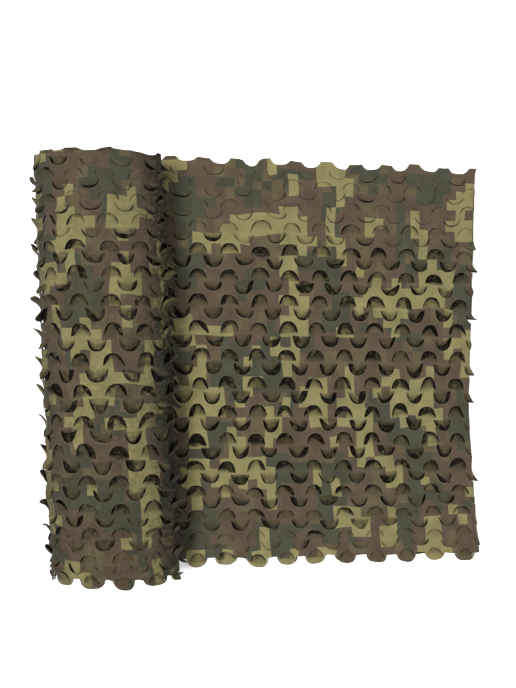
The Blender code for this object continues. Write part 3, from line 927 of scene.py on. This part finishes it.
MATERIALS = [
    cloth_material("camouflage_print", False),
    cloth_material("camouflage_back", True),
    gap_shade_material(),
]


# ---- the loose end
def loose_end_drift(column, share):
    """The drift, which in the lower layer lays its leaves under the upper ones."""
    if column <= NOSE_COLUMN:
        return drift(column, share)
    mirrored = math.floor(2 * NOSE_COLUMN) + (share > CLOSE_AT_FOLD) - column
    return 2 * NOSE_COLUMN - mirrored - drift(mirrored, share) - column


def reach_of(column):
    return FIRST_TAB_X + PITCH_NEAR * column - PITCH_LOSS * column * column


def along_of(column):
    """Share of the way from the roll to the fold."""
    near = reach_of(JOINT_COLUMN)
    return (reach_of(column) - near) / (reach_of(FLAT_COLUMN) - near)


FOLD_COLUMNS = math.pi * FOLD_RADIUS / (PITCH_NEAR - 2 * PITCH_LOSS * FLAT_COLUMN)
NOSE_COLUMN = FLAT_COLUMN + FOLD_COLUMNS / 2
CLOSE_AT_FOLD = 0.18  # share of the width from which one more column fits
LOOSE_END_LAST = 2 * NOSE_COLUMN - JOINT_COLUMN


def loose_end_surface(column, share):
    """Places in the frame: the upper layer, the fold, then the lower layer."""
    turned = np.clip((column - FLAT_COLUMN) / FOLD_COLUMNS, 0, 1)
    above = np.where(turned < 1, np.minimum(column, FLAT_COLUMN), 2 * NOSE_COLUMN - column)
    along = along_of(above)
    y = between(between(*TAB_TOPS_Y, along), between(*LOBE_ENDS_Y, along), share)
    y = y + LOWER_SHIFT_Y * turned * along
    start = JOINT_X + GAP + AXIS_SLOPE * y
    end = np.interp(share, *zip(*FOLD_LINE)) - FOLD_RADIUS - FOLD_LEAVES
    angle = math.pi * turned
    x = between(start, end, along) + FOLD_RADIUS * np.sin(angle)
    fade = np.sqrt(np.sin(math.pi * np.clip(along, 0, 1))) * (turned <= 0)
    z = CLOTH / 2 + FOLD_RADIUS * (1 + np.cos(angle)) + fade * WAVE_HEIGHT * slow_wave(along, share)
    return np.stack([x, y, z], axis=1)


def loose_end_openness(leaf):
    """The lower layer is pressed flat."""
    beyond = leaf.x / PITCH_NEAR - FLAT_COLUMN
    if beyond > FOLD_COLUMNS:
        return 0.0, 0.0, NO_STAND
    return (FOLD_OPEN if beyond > -FOLD_NEAR else 1.0), 0.0, NO_STAND


def loose_end():
    """The loose end: one sheet, folded double."""
    first, last = JOINT_COLUMN, LOOSE_END_LAST
    leaves = leaves_between(first, last, PITCH_NEAR, loose_end_drift, loose_end_openness, LEAST_OPEN[0])
    fold_start, fold_end = FLAT_COLUMN * PITCH_NEAR, (FLAT_COLUMN + FOLD_COLUMNS) * PITCH_NEAR
    parts = (first * PITCH_NEAR, fold_start, fold_end, last * PITCH_NEAR)
    bands = [(start, end, -NET_WIDTH, 0, step)
             for start, end, step in zip(parts, parts[1:], (SHEET_MESH, BENT_MESH, HIDDEN_MESH))]
    cloth = FlatCloth(first, last, PITCH_NEAR, loose_end_drift, leaves, bands, ARC_STEPS, LEAF_MESH,
                      EVEN_EDGES)
    place, lift = bend_leaves(cloth, FLAT_SINK, FLAT_CURL)
    x, y = cloth.flat.T
    lower = x > fold_end
    lift[lower] *= -1
    height, wave = FLAT_UNEVEN
    lift[~lower] += height * ripple(x, y, FLAT_SEEDS[0], wave)[~lower]
    tug(place, x, y, FLAT_SEEDS[1])
    points = drape(cloth, loose_end_surface, place, lift)
    points[~lower, 2] = np.maximum(points[~lower, 2], LOWEST_UPPER_Z)
    piece = fabric_piece("net_loose_end_cloth", cloth, points, LOOSE_END_SHIFT, lower & within_edges(y))
    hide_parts("net_loose_end")


# ---- the roll
def section(angle, inset):
    """The wound cloth in the roll's cross-section; angles fall as it is wound inwards."""
    wound = np.maximum(LIP_ANGLE - angle, 0) / (2 * math.pi)
    size = np.maximum(1 - TURN_SHRINK * wound, EYE_SIZE)
    settled = smooth((SETTLE_ANGLES[0] - angle) / (SETTLE_ANGLES[0] - SETTLE_ANGLES[1]))
    low = between(HALF_HEIGHT, INNER_HALF_HEIGHT, settled)
    height = np.where(np.sin(angle) < 0, low, HALF_HEIGHT)
    x = COIL_CENTRE_X * (1 - size) + (size * HALF_WIDTH - inset) * np.cos(angle)
    z = CENTRE_Z + (size * height - inset) * np.sin(angle)
    return np.stack([x, z, size], axis=1)


class Winding:
    """A stretch of the roll's double cloth, from one angle inwards to another."""

    def __init__(self, first_angle, last_angle, inset, floor_start=None):
        """floor_start is the height at which it comes in over the floor from the joint."""
        count = math.ceil((first_angle - last_angle) / SECTION_STEP)
        self.path = section(np.linspace(first_angle, last_angle, count + 1), inset)
        if floor_start is not None:
            x, z, _ = self.path[0]
            part = np.linspace(0, 1, FLOOR_STEPS + 1)[:-1]
            rise = between(floor_start, z, smooth(EARLY_RISE * part))
            over_floor = np.stack([between(JOINT_X, x, part), rise, np.ones(FLOOR_STEPS)], axis=1)
            self.path = np.concatenate([over_floor, self.path])
        steps = np.hypot(*np.diff(self.path[:, :2], axis=0).T)
        self.lengths = np.concatenate([[0.0], np.cumsum(steps)])
        self.length = self.lengths[-1]
        self.highest = self.lengths[np.argmax(self.path[:, 1])]

    def section_at(self, length):
        """Across and up in the roll's section, and the size of the coil there."""
        return [np.interp(length, self.lengths, line) for line in self.path.T]

    def at(self, length, share, seed):
        """Places in the frame."""
        x, z, size = self.section_at(length)
        depth = np.interp(size, *zip(*COIL_ENDS))
        y = between(ROLL_TAB_TOPS_Y - depth, ROLL_LOBE_ENDS_Y + depth, share)
        swell = ROLL_SWELL * np.sin(math.pi * np.clip(share, 0, 1))
        swell = swell + COIL_WOBBLE[0] * size * ripple(length, y, seed, COIL_WOBBLE[1])
        out = np.array([x, z - CENTRE_Z]) / np.maximum(np.hypot(x, z - CENTRE_Z), LEAST_RADIUS)
        free = np.clip(z / PRESSED_BELOW, 0, 1)
        x = x + out[0] * swell + AXIS_SLOPE * y
        z = z + out[1] * swell * free
        return np.stack([x, y, z], axis=1)


def wound_piece(name, winding, seed, outward, meshing, openness=None, sink_limit=0.0):
    """One stretch of the roll's cloth. Outward says that its print faces out of the roll."""
    bands, arc_steps, leaf_mesh = meshing
    start = winding.highest + FIRST_FROM_TOP
    first, last = -start / ROLL_PITCH, (winding.length - start) / ROLL_PITCH
    if not outward:
        first, last = -last, -first

    def length_of(column):
        return start + (column if outward else -column) * ROLL_PITCH

    def surface(column, share):
        return winding.at(length_of(column), share, seed)

    leaves = []
    if openness:
        def open_here(leaf):
            return openness(winding, leaf, length_of(leaf.x / ROLL_PITCH))

        leaves = leaves_between(first, last, ROLL_PITCH, no_drift, open_here, LEAST_OPEN[1])
    edges = [first * ROLL_PITCH, last * ROLL_PITCH]
    bands = [(*edges, -NET_WIDTH + low * NET_WIDTH, -NET_WIDTH + high * NET_WIDTH, step)
             for low, high, step in bands]
    cloth = FlatCloth(first, last, ROLL_PITCH, no_drift, leaves, bands, arc_steps, leaf_mesh, ROUGH_EDGES)
    place, lift = bend_leaves(cloth, sink_limit, ROLL_CURL)
    x, y = cloth.flat.T
    if openness:
        tug(place, x, y, seed + 1)
    if outward:
        # the roll darker towards its lobes, and painted shade on its sides where they turn from the light
        cloth.shade += np.interp(-y / NET_WIDTH, (0, 1), ROLL_SHADE) * (1 - cloth.shade)
        side = winding.section_at(length_of(place[:, 0] / ROLL_PITCH))[0] / HALF_WIDTH
        turned = smooth((np.abs(side) - TURNED_FROM) / (1 - TURNED_FROM))
        turned *= np.where(cloth.leaf_of < 0, 1, TURNED_LEAVES)
        cloth.shade += np.where(side < 0, *TURNED_SHADE) * turned * (1 - cloth.shade)
    points = drape(cloth, surface, place, lift)
    inside = within_edges(y) & (openness is pressed_flat)
    piece = fabric_piece(name, cloth, points, PRINT_SHIFT + seed, inside)
    return piece


def roll_openness(winding, leaf, length):
    """The outer turn's leaves are pressed flat by degrees towards the floor, and in the tuck."""
    x, height, size = (float(number) for number in winding.section_at(length))
    share = min(1.0, height / PRESSED_BELOW) * (size > 0.999)
    wild = float(smooth((abs(x) / HALF_WIDTH - WILD_FROM) / (1 - WILD_FROM)))
    where = (-leaf.crown / NET_WIDTH, x / HALF_WIDTH)
    far = [(here - middle) / reach for here, middle, reach in zip(where, CRUMPLED, CRUMPLED_REACH)]
    wild = share * max(wild, math.exp(-far[0] ** 2 - far[1] ** 2))
    return share, wild, FAR_STAND if x < 0 else CREASE_STAND


def pressed_flat(winding, leaf, length):
    return 0.0, 0.0, NO_STAND


def roll():
    """The double cloth's outer turn, and inside it the second layer and the coil of both."""
    fine = [(0.0, 1.0, SHEET_MESH)], ARC_STEPS, LEAF_MESH
    hidden = [(0.0, 1.0, HIDDEN_MESH)], HIDDEN_ARC_STEPS, HIDDEN_MESH
    edge = COIL_EDGE / NET_WIDTH
    coarse = [(0.0, edge, HIDDEN_MESH), (edge, 1 - edge, COIL_MESH),
              (1 - edge, 1.0, HIDDEN_MESH)], HIDDEN_ARC_STEPS, HIDDEN_MESH
    eye = LIP_ANGLE - 2 * math.pi * (1 - EYE_SIZE) / TURN_SHRINK
    outer = Winding(FLOOR_ANGLE, TUCK_ANGLE, 0.0, CLOTH / 2)
    second = Winding(FLOOR_ANGLE, TUCK_ANGLE, LAYER_GAP, CLOTH / 2 + 2 * FOLD_RADIUS)
    piece = wound_piece("net_roll_outer_turn", outer, 11, True, fine, roll_openness, ROLL_SINK)
    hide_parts("net_roll")
    wound_piece("net_roll_second_turn", second, 23, False, hidden, pressed_flat, HIDDEN_SINK)
    wound_piece("net_roll_coil_a", Winding(TUCK_ANGLE, eye, 0.0), 31, True, coarse)
    wound_piece("net_roll_coil_b", Winding(TUCK_ANGLE, eye, LAYER_GAP), 43, False, coarse)


# ---- the floor, the light and the view
VIEW_HEIGHT = 3.5
VIEW_CENTRE = (0.5405, 0.075)
LENS = 48.8  # mm, for a sensor 36 mm long, along the view's long side
FLOOR_HALF = 6.0
KEY_LIGHT = ((-2.3, 0.6, 8.8), 2.8, 1250.0, (1.0, 0.99, 0.97))  # place, size, power, colour
OVERHEAD_LIGHT = ((2.8, 0.0, 8.6), 5.0, 480.0, (1.0, 1.0, 1.0))
SKY_COLOUR = (0.95, 0.97, 1.0)
SKY_STRENGTH = 0.28


def floor():
    mesh = bpy.data.meshes.new("floor")
    corners = [(x * FLOOR_HALF, y * FLOOR_HALF, 0) for x, y in ((-1, -1), (1, -1), (1, 1), (-1, 1))]
    mesh.from_pydata(corners, [], [(0, 1, 2, 3)])
    mesh.materials.append(floor_material())
    placed("floor", mesh)


def soft_light(name, place, size, power, colour):
    """A square light that faces the middle of the view."""
    data = bpy.data.lights.new(name, 'AREA')
    data.size = size
    data.energy = power
    data.color = colour
    light = placed(name, data)
    light.location = place
    aim = Vector((*VIEW_CENTRE, 0.0)) - Vector(place)
    light.rotation_euler = aim.to_track_quat('-Z', 'Y').to_euler()
    light.visible_camera = False


def studio():
    floor()
    soft_light("key", *KEY_LIGHT)
    soft_light("overhead", *OVERHEAD_LIGHT)
    world = bpy.data.worlds.new("studio")
    world.use_nodes = True
    sky = world.node_tree.nodes["Background"].inputs
    sky["Color"].default_value = (*SKY_COLOUR, 1.0)
    sky["Strength"].default_value = SKY_STRENGTH
    bpy.context.scene.world = world
    bpy.context.scene.view_settings.view_transform = 'Standard'


def camera():
    data = bpy.data.cameras.new("camera")
    data.lens = LENS
    item = placed("camera", data)
    item.location = (*VIEW_CENTRE, VIEW_HEIGHT)
    bpy.context.scene.camera = item


camera()
studio()
loose_end()
roll()
